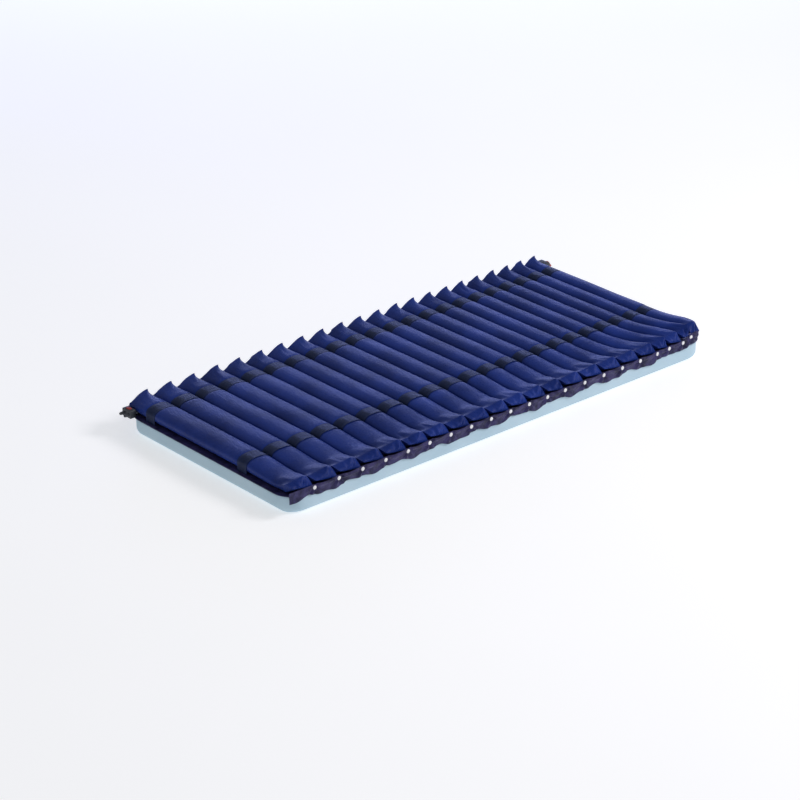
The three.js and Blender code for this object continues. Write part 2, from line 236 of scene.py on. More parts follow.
# Press studs: how far before the end of a cell's slot, how high, and how far out
STUD_INSET = 7.5 * MM
STUD_Z = 80 * MM
STUD_OUT = 1.8 * MM
# Folds out of each stud: heading in degrees, half width in degrees, and depth in mm
STAR_FOLDS = [(2, 9, 12), (-24, 12, -8), (-50, 9, 9), (-85, 13, -7), (-120, 10, 8),
              (-150, 12, -7), (178, 9, 10), (24, 13, -11)]
# Their reach, how that and their heading vary, and where they start
STAR_REACH = 24 * MM
STAR_REACH_VARIES = (0.8, 1.2)
STAR_TURN = 9
STAR_START = (6 * MM, 16 * MM)

# Foam slab: its rings' distance, its corners and edges, and the points along its edges, flats and sides
FOAM_STEP = 22 * MM
FOAM_CORNER = 70 * MM
FOAM_TOP_RADIUS = 12 * MM
FOAM_UNDER_RADIUS = 24 * MM
FOAM_EDGE_STEPS = 6
FOAM_FLAT_STEPS = 14
FOAM_SIDE_SHARES = (0.35, 0.7)
# Its sides' unevenness: how far they draw in, and the depth, rate and phase of two ripples
FOAM_TUCK = 0.9 * MM
FOAM_SIDE_BAND = 2 * MM
FOAM_RIPPLES = [(0.8 * MM, 17, 1), (0.5 * MM, 41, 0)]
# Distances in mm from an end of the slab where its rounded plan corner has a ring
CORNER_STEPS = (0.4, 1.5, 4, 8, 13, 19, 27, 36, 47, 60)

bodies = frame["record"]["behaviour"]["bodies"]
body_of = {node: body for body, nodes in bodies.items() for node in nodes}


def smoothstep(value, low, high):
    t = np.clip((np.asarray(value, float) - low) / (high - low), 0, 1)
    return t * t * (3 - 2 * t)


# ---- Layout read from the frame ----


def make_slots():
    """The slot of each air cell, from the foot end of the row."""
    low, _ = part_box("air_cell_01")
    start, slots = low.x - SIDE_GAP, []
    for number in range(1, CELL_COUNT + 1):
        pitch = FOOT_PITCH + (HEAD_PITCH - FOOT_PITCH) * (number - 1) / (CELL_COUNT - 1)
        node = f"air_cell_{number:02d}"
        slots.append({"node": node, "number": number, "body": body_of[node], "start": start,
                      "end": start + pitch, "centre": start + pitch / 2, "half": pitch / 2 - SIDE_GAP})
        start += pitch
    return slots


CELLS = make_slots()
CELL_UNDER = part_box("air_cell_01")[0].z
BODY_MIDDLE = (CREST + CELL_UNDER) / 2
BODY_HEIGHT = (CREST - CELL_UNDER) / 2


def gap_shift(number, y):
    """How far the gap after a cell is drawn towards the head, at places across the mattress."""
    return NEAR_SHIFT.get(number, 0) * MM * smoothstep(-np.asarray(y, float), SHIFT_FROM, SHIFT_TO)


def slot_at(cell, y):
    """The middle and half width of a cell at places across the mattress."""
    start = cell["start"] + gap_shift(cell["number"] - 1, y)
    end = cell["end"] + gap_shift(cell["number"], y)
    return (start + end) / 2, (end - start) / 2 - SIDE_GAP


def stud_after(number, side):
    """Where along the mattress the press stud at the gap after a cell is."""
    return CELLS[number - 1]["end"] + float(gap_shift(number, side * SHIFT_TO)) - STUD_INSET


def section_ends(kind):
    """Where a row of CAD nodes starts and ends along the mattress."""
    boxes = [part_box(f"{kind}_{name}") for name in SECTIONS]
    return boxes[0][0].x, boxes[-1][1].x


FOLDS = [
    (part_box(f"foam_base_{a}")[1].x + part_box(f"foam_base_{b}")[0].x) / 2
    for a, b in zip(SECTIONS, SECTIONS[1:])
]


def fold_spans(start, end):
    """One span for each fold, from the middle of a section to the middle of the next."""
    edges = [start, *FOLDS, end]
    middles = [(a + b) / 2 for a, b in zip(edges, edges[1:])]
    cuts = [start, *middles[1:-1], end]
    return [
        {"names": (a, b), "tag": f"{a}_{b}", "fold": fold, "from": low, "to": high}
        for a, b, fold, low, high in zip(SECTIONS, SECTIONS[1:], FOLDS, cuts, cuts[1:])
    ]


# ---- Mesh helpers ----


def new_object(name, data):
    """An object in the scene."""
    made = bpy.data.objects.new(name, data)
    bpy.context.scene.collection.objects.link(made)
    return made


def new_piece(name, vertices, faces, uvs=None):
    """A mesh object from points, faces and one UV pair for each face corner, its normals outward."""
    mesh = bpy.data.meshes.new(name)
    mesh.from_pydata(np.asarray(vertices).tolist(), [], faces)
    if uvs is not None:
        layer = mesh.uv_layers.new(name="cloth")
        layer.data.foreach_set("uv", np.asarray(uvs, np.float32).ravel())
    work = bmesh.new()
    work.from_mesh(mesh)
    bmesh.ops.recalc_face_normals(work, faces=work.faces)
    work.to_mesh(mesh)
    work.free()
    mesh.shade_smooth()
    return new_object(name, mesh)


def lengths_along(points, axis):
    """Running length of a grid of points along one of its two directions."""
    steps = np.linalg.norm(np.diff(points, axis=axis), axis=2)
    return np.insert(np.cumsum(steps, axis=axis), 0, 0, axis=axis)


def grid_piece(name, points, tube=False):
    """A grid of points (rows, columns, 3) as a sheet, or as a closed tube round its columns."""
    points = np.asarray(points, float)
    rows, columns = points.shape[:2]
    wrapped = np.concatenate([points, points[:, :1]], axis=1) if tube else points
    u = lengths_along(wrapped, 1)
    v = lengths_along(wrapped, 0)
    faces, uvs = [], []
    for r in range(rows - 1):
        for c in range(wrapped.shape[1] - 1):
            corners = [(r, c), (r, c + 1), (r + 1, c + 1), (r + 1, c)]
            faces.append([a * columns + b % columns for a, b in corners])
            uvs += [(u[a, b], v[a, b]) for a, b in corners]
    if tube:
        for r in (0, rows - 1):
            faces.append([r * columns + c for c in range(columns)])
            uvs += [tuple(points[r, c, 1:]) for c in range(columns)]
    piece = new_piece(name, points.reshape(-1, 3), faces, uvs)
    if tube:
        piece.data.set_sharp_from_angle(angle=SHARP_ANGLE)
    return piece


def modify(piece, kind, **settings):
    """Replaces a piece's mesh with what one modifier makes of it."""
    modifier = piece.modifiers.new("modifier", kind)
    for key, value in settings.items():
        setattr(modifier, key, value)
    graph = bpy.context.evaluated_depsgraph_get()
    made = bpy.data.meshes.new_from_object(piece.evaluated_get(graph))
    piece.modifiers.clear()
    piece.data = made
    return piece


def solidify(piece, thickness):
    """Gives a sheet its thickness, half of it to each side."""
    modify(piece, "SOLIDIFY", thickness=thickness, offset=0.0)
    piece.data.set_sharp_from_angle(angle=SHARP_ANGLE)
    return piece


def join(name, pieces):
    """Several objects as one piece."""
    work = bmesh.new()
    for piece in pieces:
        work.from_mesh(piece.data)
        bpy.data.objects.remove(piece)
    mesh = bpy.data.meshes.new(name)
    work.to_mesh(mesh)
    work.free()
    return new_object(name, mesh)


def lathe(profile, centre, axis, segments=32, cut=0.0, cut_rows=()):
    """A turned solid from its profile, with some of the profile's points cut in as told for each angle."""
    angles = np.arange(segments) * TAU / segments
    points = np.zeros((len(profile), segments, 3))
    across = {0: (1, 2), 1: (0, 2), 2: (0, 1)}[axis[0]]
    for row, (along, radius) in enumerate(np.array(profile) * MM):
        radius = radius - cut if row in cut_rows else radius
        points[row, :, axis[0]] = axis[1] * along
        points[row, :, across[0]] = radius * np.cos(angles)
        points[row, :, across[1]] = radius * np.sin(angles)
    return grid_piece("turned", points + np.array(centre), tube=True)


def block(low, high, edge):
    """A box with rounded edges."""
    corners = [(x, y, z) for x in (low[0], high[0]) for y in (low[1], high[1])
               for z in (low[2], high[2])]
    faces = [[0, 1, 3, 2], [4, 6, 7, 5], [0, 4, 5, 1], [2, 3, 7, 6], [0, 2, 6, 4], [1, 5, 7, 3]]
    box = new_piece("block", corners, faces)
    return modify(box, "BEVEL", width=edge, segments=EDGE_SEGMENTS, limit_method="ANGLE")


# ---- Materials ----


# The scale at which Blender's wave texture has one wave in each unit
ONE_WAVE = TAU / 20


class Finish:
    """A procedural material built up node by node around one Principled shader."""

    def __init__(self, name, **sockets):
        self.material = bpy.data.materials.new(name)
        self.material.use_nodes = True
        self.tree = self.material.node_tree
        self.shader = self.tree.nodes["Principled BSDF"]
        for socket, value in sockets.items():
            self.shader.inputs[socket.replace("_", " ")].default_value = value

    def feed(self, socket, value):
        """Links a node's output to a socket, or sets its plain value."""
        if isinstance(value, bpy.types.NodeSocket):
            self.tree.links.new(value, socket)
        else:
            socket.default_value = value

    def add(self, kind, inputs=None, **settings):
        node = self.tree.nodes.new(f"ShaderNode{kind}")
        for key, value in settings.items():
            setattr(node, key, value)
        for key, value in (inputs or {}).items():
            self.feed(node.inputs[key], value)
        return node

    def coordinates(self, kind, scale=(1, 1, 1)):
        source = self.add("TexCoord").outputs[kind]
        return self.add("Mapping", {"Vector": source, "Scale": scale}).outputs["Vector"]

    def noise(self, vector, scale, detail=3.0, roughness=0.5):
        inputs = {"Vector": vector, "Scale": scale, "Detail": detail, "Roughness": roughness}
        return self.add("TexNoise", inputs).outputs["Fac"]

    def ramp(self, value, places, colours):
        """One colour up to a value, another from a second value on, and a blend between."""
        node = self.add("ValToRGB", {"Fac": value})
        for element, place, colour in zip(node.color_ramp.elements, places, colours):
            element.position = place
            element.color = (*colour, 1)
        return node.outputs["Color"]

    def math(self, operation, first, second=0.0, third=0.0):
        node = self.add("Math", operation=operation)
        for socket, value in zip(node.inputs, (first, second, third)):
            self.feed(socket, value)
        return node.outputs[0]

    def mix(self, factor, first, second, blend="MIX"):
        node = self.add("Mix", data_type="RGBA", blend_type=blend)
        for index, value in ((0, factor), (6, first), (7, second)):
            self.feed(node.inputs[index], value)
        return node.outputs[2]

    def weave(self, pitch):
        """Height of a plain weave, from the cloth's own UVs."""
        vector = self.coordinates("UV", (1 / pitch, 1 / pitch, 1))
        inputs = {"Vector": vector, "Scale": ONE_WAVE}
        warp, weft = (self.add("TexWave", inputs, bands_direction=way).outputs["Fac"] for way in "XY")
        over = self.add("TexChecker", {"Vector": vector, "Scale": 1.0}).outputs["Fac"]
        return self.math("ADD", self.math("MULTIPLY", warp, over),
                         self.math("MULTIPLY", weft, self.math("SUBTRACT", 1.0, over)))

    def bump(self, height, distance, strength=1.0, under=None):
        inputs = {"Height": height, "Distance": distance, "Strength": strength}
        if under is not None:
            inputs["Normal"] = under
        return self.add("Bump", inputs).outputs["Normal"]

    def wire(self, socket, value):
        self.tree.links.new(value, self.shader.inputs[socket])


# Coated cloth: the grain in its colour and gloss, its wrinkles, the look of its weave, and painted shade
# where the weave's threads dip
GRAIN_SCALE = (260, 90, 1)
GRAIN_SHARE = 0.25
GRAIN_ROUGHNESS = 0.16
WRINKLE_SCALE = (18, 9, 1)
WEAVE_PAINTED_SHADE = 0.12
WEAVE_DIP_SHADE = (0.3, 0.3, 0.3)
WEAVE_DEPTH = 0.12 * MM


def cloth_finish(name, *, dark, light, drift_scale, pitch, roughness, gloss, sheen, tint, wrinkle):
    """Coated cloth: slow colour drift, a weave with painted shade in its dips, fine wrinkles, and a soft
    sheen.
    """
    made = Finish(name, Sheen_Weight=sheen, Sheen_Roughness=0.35, Sheen_Tint=(*tint, 1),
                  Specular_IOR_Level=gloss)
    drift = made.noise(made.coordinates("Object"), drift_scale)
    grain = made.noise(made.coordinates("UV", GRAIN_SCALE), 1.0, 2.0)
    tone = made.math("ADD", made.math("MULTIPLY", drift, 1 - GRAIN_SHARE),
                     made.math("MULTIPLY", grain, GRAIN_SHARE))
    colour = made.ramp(tone, (0.36, 0.64), (dark, light))
    weave = made.weave(pitch)
    # Painted shade: the colour darkens where the weave's threads dip under
    shade = made.ramp(weave, (0, 1), (WEAVE_DIP_SHADE, (1, 1, 1)))
    made.wire("Base Color", made.mix(WEAVE_PAINTED_SHADE, colour, shade, "MULTIPLY"))
    low = roughness - GRAIN_ROUGHNESS / 2
    made.wire("Roughness", made.math("MULTIPLY_ADD", grain, GRAIN_ROUGHNESS, low))
    wrinkles = made.noise(made.coordinates("UV", WRINKLE_SCALE), 1.0, 4.0, 0.6)
    made.wire("Normal", made.bump(weave, WEAVE_DEPTH, 0.6, made.bump(wrinkles, wrinkle)))
    return made.material


# Loop webbing: its dark and light colours, plain and with painted shade
WEBBING = ((0.007, 0.015, 0.062), (0.018, 0.032, 0.118))
WEBBING_PAINTED_SHADE = ((0.004, 0.010, 0.038), (0.010, 0.020, 0.068))
WEBBING_PITCH = 1.4 * MM
WEBBING_WRINKLE = 1.1 * MM
WEBBING_ROUGHNESS = 0.24


def loop_finish():
    """Semi-gloss webbing with crosswise wrinkles, darker on a patch of painted shade on each arch's foot side
    and along its edges.
    """
    made = Finish("loop_webbing", Sheen_Weight=0.03, Sheen_Roughness=0.3, Specular_IOR_Level=0.11)
    patch = made.add("Attribute", attribute_name="painted_shade").outputs["Fac"]
    grain = made.noise(made.coordinates("UV", (500, 60, 1)), 1.0, 2.0)
    plain, painted_shade = (made.ramp(grain, (0.3, 0.75), pair) for pair in (WEBBING, WEBBING_PAINTED_SHADE))
    weave = made.weave(WEBBING_PITCH)
    # The darker colour goes on the painted shade patch and on the darker edge strips
    made.wire("Base Color", made.mix(made.math("MULTIPLY", patch, 0.85), plain, painted_shade))
    made.wire("Roughness", made.math("MULTIPLY_ADD", grain, 0.15, WEBBING_ROUGHNESS))
    wrinkles = made.noise(made.coordinates("UV", (25, 160, 1)), 1.0, 3.0, 0.6)
    made.wire("Normal", made.bump(weave, 0.15 * MM, 0.7, made.bump(wrinkles, WEBBING_WRINKLE)))
    return made.material


# Foam: its two colours, how far light scatters in it, and the scales of its pores and specks
FOAM_COLOURS = ((0.44, 0.60, 0.70), (0.54, 0.69, 0.78))
FOAM_SCATTER = (4 * MM, 5 * MM, 6 * MM)
FOAM_PORES = 620.0
FOAM_SPECKS = 900.0


def foam_finish():
    """Pale blue open-cell foam."""
    made = Finish("foam_cells", Subsurface_Weight=0.08, Subsurface_Radius=FOAM_SCATTER,
                  Specular_IOR_Level=0.25)
    vector = made.coordinates("Object")
    drift = made.noise(vector, 5.0, 2.0)
    pores = made.add("TexVoronoi", {"Vector": vector, "Scale": FOAM_PORES}).outputs["Distance"]
    speck = made.noise(vector, FOAM_SPECKS, 1.0)
    tone = made.math("ADD", made.math("MULTIPLY", drift, 0.7), made.math("MULTIPLY", speck, 0.3))
    made.wire("Base Color", made.ramp(tone, (0.3, 0.7), FOAM_COLOURS))
    made.wire("Roughness", made.math("MULTIPLY_ADD", speck, 0.1, 0.82))
    made.wire("Normal", made.bump(pores, 0.35 * MM, 0.5))
    return made.material


def plastic_finish(name, dark, light, roughness, grain_size):
    """Moulded plastic: a fine grain, and a slight drift in colour and polish."""
    made = Finish(name, Specular_IOR_Level=0.5)
    vector = made.coordinates("Object")
    grain = made.noise(vector, grain_size, 2.0)
    drift = made.noise(vector, 30.0, 2.0)
    made.wire("Base Color", made.ramp(drift, (0.3, 0.7), (dark, light)))
    made.wire("Roughness", made.math("MULTIPLY_ADD", drift, 0.14, roughness))
    made.wire("Normal", made.bump(grain, 0.08 * MM, 0.5))
    return made.material


def floor_finish():
    """A pale studio floor with a slight glow of its own."""
    made = Finish("pale_floor", Roughness=0.6, Specular_IOR_Level=0.3, Emission_Strength=FLOOR_GLOW,
                  Emission_Color=(1, 1, 1, 1))
    drift = made.noise(made.coordinates("Object"), FLOOR_DRIFT)
    made.wire("Base Color", made.ramp(drift, (0.3, 0.7), [(shade,) * 3 for shade in FLOOR_SHADES]))
    return made.material


CELL_CLOTH = cloth_finish(
    "cell_nylon", dark=(0.007, 0.022, 0.150), light=(0.016, 0.042, 0.260), drift_scale=7.0, pitch=0.9 * MM,
    roughness=0.30, gloss=0.12, sheen=0.05, tint=(0.45, 0.45, 1.0), wrinkle=1.2 * MM)
SHEET_CLOTH = cloth_finish(
    "sheet_nylon", dark=(0.007, 0.006, 0.038), light=(0.048, 0.041, 0.145), drift_scale=34.0,
    pitch=1.3 * MM, roughness=0.40, gloss=0.22, sheen=0.07, tint=(0.65, 0.6, 1.0), wrinkle=4.8 * MM)
LOOP_CLOTH = loop_finish()
FOAM = foam_finish()
# Each plastic: its dark and light colours, roughness and the scale of its grain
STUD_PLASTIC = plastic_finish("stud_acetal", (0.80, 0.81, 0.83), (0.88, 0.88, 0.90), 0.24, 1500.0)
TUBE_PLASTIC = plastic_finish("tube_pvc", (0.52, 0.56, 0.62), (0.62, 0.66, 0.72), 0.22, 700.0)
FITTING_PLASTIC = plastic_finish("fitting_abs", (0.035, 0.038, 0.046), (0.052, 0.056, 0.066), 0.42, 1400.0)
CONTROL_PLASTIC = plastic_finish("control_abs", (0.33, 0.030, 0.022), (0.42, 0.046, 0.034), 0.36, 1400.0)


def dress(piece, material):
    """Gives a piece its material."""
    piece.data.materials.clear()
    piece.data.materials.append(material)


# ---- Camera, light and floor ----


def make_camera():
    camera = new_object("camera", bpy.data.cameras.new("camera"))
    camera.location = CAMERA_PLACE
    camera.rotation_euler = (math.pi / 2 - CAMERA_ELEVATION, 0, CAMERA_AZIMUTH)
    camera.data.lens = CAMERA_LENS
    camera.data.clip_end = CAMERA_REACH
    bpy.context.scene.camera = camera


def make_light():
    bpy.context.scene.view_settings.view_transform = "Standard"
    world = bpy.data.worlds.new("studio")
    world.use_nodes = True
    background = world.node_tree.nodes["Background"]
    background.inputs["Color"].default_value = (*WORLD_COLOUR, 1)
    background.inputs["Strength"].default_value = WORLD_STRENGTH
    bpy.context.scene.world = world
    for name, (place, size, power, colour) in LIGHTS.items():
        data = bpy.data.lights.new(name, "AREA")
        data.shape = "RECTANGLE"
        data.size, data.size_y = size
        data.energy, data.color = power, colour
        light = new_object(name, data)
        light.location = place
        light.rotation_euler = (-light.location).to_track_quat("-Z", "Y").to_euler()
        light.visible_camera = False


def make_floor():
    half = FLOOR_SIZE / 2
    corners = [(-half, -half, 0), (half, -half, 0), (half, half, 0), (-half, half, 0)]
    floor = new_piece("floor", corners, [[0, 1, 2, 3]])
    floor.location.z = -FLOOR_DROP
    floor.data.materials.append(floor_finish())


# ---- Air cells ----

UPPER = np.arange(UPPER_STEPS + 1) / UPPER_STEPS
LOWER = np.arange(1, LOWER_STEPS) / LOWER_STEPS
IS_UPPER = np.arange(UPPER_STEPS + LOWER_STEPS) <= UPPER_STEPS
SHARE = np.where(IS_UPPER, np.arange(UPPER_STEPS + LOWER_STEPS) / UPPER_STEPS, 0)
NEAR_CREST = np.exp(-(((SHARE - 0.5) / CREST_WIDTH) ** 2)) * IS_UPPER


def squared_round(angles):
    """Points (across, up) on a round between a circle and a square, from the foot side over the top."""
    across = -np.sign(np.cos(angles)) * np.abs(np.cos(angles)) ** (2 / ROUNDNESS)
    up = np.sign(np.sin(angles)) * np.abs(np.sin(angles)) ** (2 / ROUNDNESS)
    return across, up


def body_profile(squeeze=0.0):
    """The round body's outline (share of the half width, z): over the top from the foot side, then back."""
    across, up = squared_round(math.pi * np.concatenate([UPPER, 1 + LOWER]))
    top = np.where(up > 0, 1.0, 0.0)
    return across, BODY_MIDDLE + (BODY_HEIGHT - squeeze * top) * up


def path_profile(points, shares):
    """Points spread along a polyline."""
    points = np.array(points, float)
    along = np.concatenate([[0], np.cumsum(np.linalg.norm(np.diff(points, axis=0), axis=1))])
    return [np.interp(shares * along[-1], along, points[:, k]) for k in (0, 1)]


def near_lift(x, side):
    """How far the near edge of the mattress stands up at places along it."""
    return np.interp(x, LIFT_AT, LIFT) * (side < 0)


def cell_lift(x, y, z, side, end_share=0.0):
    """How far a cell stands up with the near edge, and at its end all of it, less its sag."""
    height = np.clip((z - CELL_UNDER) / (CREST - CELL_UNDER), 0, 1)
    across = float(smoothstep(y, *LIFT_ACROSS))
    sag = SAG * float(smoothstep(y, *SAG_ACROSS)) * (1 - end_share) ** SAG_EASE if side < 0 else 0.0
    sag = sag * (1 - smoothstep(x, *SAG_FADE))
    return near_lift(x, side) * across * (height + (1 - height) * end_share) - sag * height


def ridge_facts(cell, side):
    last = side < 0 and cell["number"] == CELL_COUNT
    return {**RIDGE[side], **(LAST_NEAR_END if last else {})}


def ridge_profile(cell, side, half, rng):
    """The outline at a cell's end (share of the half width, z): a ridge with a tip, and its walls."""
    facts = ridge_facts(cell, side)
    tip, tip_z, foot_z, head_z = ((facts[key] + rng.uniform(*VARIES[key])) * MM
                                  for key in ("tip_x", "tip_z", "foot_z", "head_z"))
    tip = min(tip, half - TIP_EDGE) / half
    foot, head = CUT_REACH.get((side, cell["number"]), FULL_REACH)
    rise = UPPER[: CREST_STEP + 1] * 2
    fall = UPPER[CREST_STEP + 1 :] * 2 - 1
    climb = np.sin(rise * math.pi / 2) ** facts["climb"] if side > 0 else rise ** facts["climb"]
    x = np.concatenate([foot + (tip - foot) * rise, tip + (head - tip) * fall ** facts["spread"]])
    z = np.concatenate([foot_z + (tip_z - foot_z) * climb,
                        head_z + (tip_z - head_z) * (1 - fall) ** facts["drop"]])
    head_wall = [(share * head, height) for share, height in END_WALL]
    foot_wall = [(share * foot, height) for share, height in reversed(END_WALL)]
    wall = [(x[-1], z[-1]), *head_wall, (0, END_WALL_LOW), *foot_wall, (x[0], z[0])]
    scale = np.array([half / MM, 1 / MM])
    under_x, under_z = path_profile(np.array(wall) * scale, LOWER)
    return np.concatenate([x, under_x / scale[0]]), np.concatenate([z, under_z / scale[1]])


def weld_profile(cell, side):
    """The flat weld at a cell's end (x from the row's start, z), between two studs of the skirt."""
    number = cell["number"]
    first, last = cell["start"] + WELD_CORNERS[0], cell["end"] - WELD_CORNERS[1]
    if number > 1:
        first = stud_after(number - 1, side) + WELD_CLEAR[0]
    if number < CELL_COUNT:
        last = stud_after(number, side) - WELD_CLEAR[1]
    shares = np.concatenate([UPPER, 1 - LOWER])
    x = first + (last - first) * shares
    rise = WELD_Z if number < CELL_COUNT else WELD_Z_LAST
    z = WELD_END_Z + (rise - WELD_END_Z) * (1 - shares ** WELD_FALL) + near_lift(x, side)
    z[len(UPPER) :] -= WELD_THICKNESS
    return x, z


def soft_folds(rng):
    """Folds that run out to an end: the middle and width of each as a share of the top, and its depth."""
    return [(rng.uniform(*FOLD_PLACES), rng.uniform(*FOLD_WIDTHS), rng.uniform(-FOLD_DEPTH, FOLD_DEPTH) * MM)
            for _ in range(FOLD_COUNT)]


def fold_height(folds, spread):
    """The height of those folds over the top, with their middles drawn together to a share of its width."""
    return sum(depth * np.exp(-(((SHARE - 0.5 - (middle - 0.5) * spread) / width) ** 2))
               for middle, width, depth in folds) * IS_UPPER


def ridge_rows(cell, side, ridge_y, ridge_line, ridge, folds, corner):
    """Rings that change from the body's outline to the ridge's."""
    facts = ridge_facts(cell, side)
    body_x, body_z = body_profile()
    ridge_x, ridge_z = ridge
    power = facts["early"] + (facts["late"] - facts["early"]) * NEAR_CREST
    rows = []
    for step in range(1, END_ROWS + 1):
        t = 1 - (1 - step / END_ROWS) ** ROW_EASE
        y = END_START + (ridge_y - END_START) * t
        centre, half = slot_at(cell, side * y)
        x = centre + half * (body_x + (ridge_x - body_x) * t ** power) - facts["lean"] * MM * t ** 2 * corner
        z = body_z + (ridge_z - body_z) * t ** power
        z = z + cell_lift(x, y, z, side, t)
        spread = FOLD_GATHER + (1 - FOLD_GATHER) * t
        z = z + fold_height(folds, spread) * math.sin(math.pi * t * FOLD_RUN) ** FOLD_SWELL
        rows.append(np.stack([x, END_START + (ridge_line - END_START) * t, z], axis=1))
    return rows


def face_rows(ridge, ridge_line, weld, folds, rng):
    """Rings of the end face, from the ridge down to the weld."""
    weld_x, weld_z = weld
    fold_at = 0.5 + rng.uniform(-FOLD_WANDER, FOLD_WANDER)
    fold_out = FOLD_OUT * rng.uniform(*FOLD_VARIES)
    rows = []
    for step in range(1, FACE_ROWS + 1):
        f = step / FACE_ROWS
        x = ridge[:, 0] + (weld_x - ridge[:, 0]) * f
        z = ridge[:, 2] + (weld_z - ridge[:, 2]) * f
        hollow = math.sin(math.pi * f)
        beside = SHARE - (fold_at - FOLD_LEAN * f)
        lobe = smoothstep(beside, -FOLD_EDGE, FOLD_EDGE) * np.clip(1 - beside / FOLD_SPREAD, 0, 1)
        out = (FACE_OUT + fold_out * lobe) * hollow ** FACE_EASE
        y = ridge_line + (WELD_Y - ridge_line) * f ** FACE_EASE + IS_UPPER * out
        y = y + FACE_FOLDS * fold_height(folds, 1 - FACE_GATHER * f) * hollow
        rows.append(np.stack([x, y, z], axis=1))
    return rows


def soften(rows, keep, times):
    """Evens rings out with their neighbours, except for the kept share of each point."""
    for _ in range(times):
        soft = rows.copy()
        soft[1:-1] = 0.25 * rows[:-2] + 0.5 * rows[1:-1] + 0.25 * rows[2:]
        rows = soft + (rows - soft) * keep
    return rows


def end_rows(cell, side, rng):
    """Rings of one end, from the body outward."""
    facts = ridge_facts(cell, side)
    ridge_y = (facts["y"] + (rng.uniform(*VARIES["y"]) if side < 0 else 0)) * MM
    _, end_half = slot_at(cell, side * ridge_y)
    ridge = ridge_profile(cell, side, end_half, rng)
    folds = soft_folds(rng)
    corner = np.where(IS_UPPER, np.abs(2 * SHARE - 1), 1.0) ** CORNER_POWER
    ridge_line = ridge_y - facts["recede"] * MM * corner
    rows = ridge_rows(cell, side, ridge_y, ridge_line, ridge, folds, corner)
    rows += face_rows(rows[-1], ridge_line, weld_profile(cell, side), folds, rng)
    keep = np.clip(facts["crisp"] * NEAR_CREST + (1 - IS_UPPER), 0, 1)[None, :, None]
    rows = soften(np.array(rows), keep, facts["soften"])
    rows[:, :, 1] *= side
    return rows


def body_places():
    """Where the body's rings lie across the mattress: evenly, and closer beside each loop."""
    even = np.arange(-END_START, END_START + ROW_STEP / 2, ROW_STEP)
    close = [row + sign * (LOOP_HALF + extra * MM) for row in LOOP_ROWS.values() for sign in (-1, 1)
             for extra in PINCH_RINGS]
    close = [place for place in close if abs(place) < END_START]
    even = [place for place in even if min(abs(place - c) for c in close) > RING_CLEARANCE]
    return np.array(sorted([*even, *close]))


def pinch_at(y):
    """How far the body is drawn in under its loops."""
    return sum(PINCH * (1 - smoothstep(abs(y - row), LOOP_HALF, LOOP_HALF + PINCH_FALL))
               for row in LOOP_ROWS.values())


def cell_points(cell):
    """The rings of a whole cell, from its near weld to its far one."""
    rng = np.random.default_rng(CELL_SEED + cell["number"])
    near = end_rows(cell, -1, rng)[::-1]
    far = end_rows(cell, 1, rng)
    waves = [(rng.uniform(*RIPPLE_RATES), rng.uniform(0, TAU), rng.uniform(*RIPPLE_DEPTHS) * MM)
             for _ in range(RIPPLE_COUNT)]
    body = []
    for y in body_places():
        pinch = pinch_at(y)
        x, z = body_profile(pinch)
        centre, half = slot_at(cell, y)
        ripple = sum(depth * math.sin(rate * y + phase) for rate, phase, depth in waves)
        z[: len(UPPER)] += ripple * np.sin(math.pi * UPPER)
        x = centre + (half - pinch) * x
        z = z + cell_lift(x, -y, z, -1)
        body.append(np.stack([x, np.full_like(x, y), z], axis=1))
    return np.concatenate([near, np.array(body), far])


def make_cells():
    for cell in CELLS:
        piece = grid_piece(f"cell_{cell['number']:02d}", cell_points(cell), tube=True)
        dress(piece, CELL_CLOTH)
        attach(piece, cell["body"])
        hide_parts(cell["node"])


# ---- Retaining loops ----


def loop_path(cells):
    """A strip over each cell and down to the base sheet between them, and where shade is painted on each
    arch's foot side.
    """
    path, painted_shade = [], []
    foot = SHEET_Z + LOOP_FOOT
    shares = np.arange(LOOP_ARCH_STEPS + 1) / LOOP_ARCH_STEPS
    across, up = squared_round(math.pi * np.arange(LOOP_ARCH_STEPS + 1) / LOOP_ARCH_STEPS)
    for cell in cells:
        x = cell["centre"] + across * (cell["half"] - PINCH + LOOP_LIFT)
        z = BODY_MIDDLE + up * (BODY_HEIGHT - PINCH + LOOP_LIFT)
        path += [(x[0], foot), *zip(x, z), (x[-1], foot)]
        # Painted shade on the foot-facing share of each arch
        painted_shade += [1.0, *np.where(shares < PAINTED_SHADE_TO, 1.0, 0.0), 0.0]
    return np.array(path), np.array(painted_shade)


def loop_strip(name, middle, path, painted_shade, rng):
    """A strip of webbing, with a layer that says where shade is painted on it and where its edges are darker.
    """
    across = np.linspace(-LOOP_HALF, LOOP_HALF, LOOP_COLUMNS)
    z = path[:, 1:] + LOOP_ROUGH * rng.random((len(path), LOOP_COLUMNS))
    piece = grid_piece(name, np.stack(np.broadcast_arrays(path[:, :1], middle + across, z), axis=2))
    inner = np.abs(across) < LOOP_HALF - PATCH_INSET
    edge_line = np.abs(across) > LOOP_HALF - LOOP_DARK_EDGE
    # The layer: the painted shade patch, and a darker strip along each edge
    patches = np.maximum(painted_shade[:, None] * inner, edge_line)
    layer = piece.data.attributes.new("painted_shade", "FLOAT", "POINT")
    layer.data.foreach_set("value", patches.astype(np.float32).ravel())
    return solidify(piece, LOOP_THICKNESS)


def make_loops():
    for row, middle in LOOP_ROWS.items():
        for number, section in enumerate(SECTIONS):
            cells = [cell for cell in CELLS if cell["body"] == section]
            path, painted_shade = loop_path(cells)
            rng = np.random.default_rng(LOOP_SEEDS[row] + number)
            piece = loop_strip(f"loops_{row}_{section}", middle, path, painted_shade, rng)
            dress(piece, LOOP_CLOTH)
            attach(piece, section)
            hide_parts(f"{row}_loops_{section}")


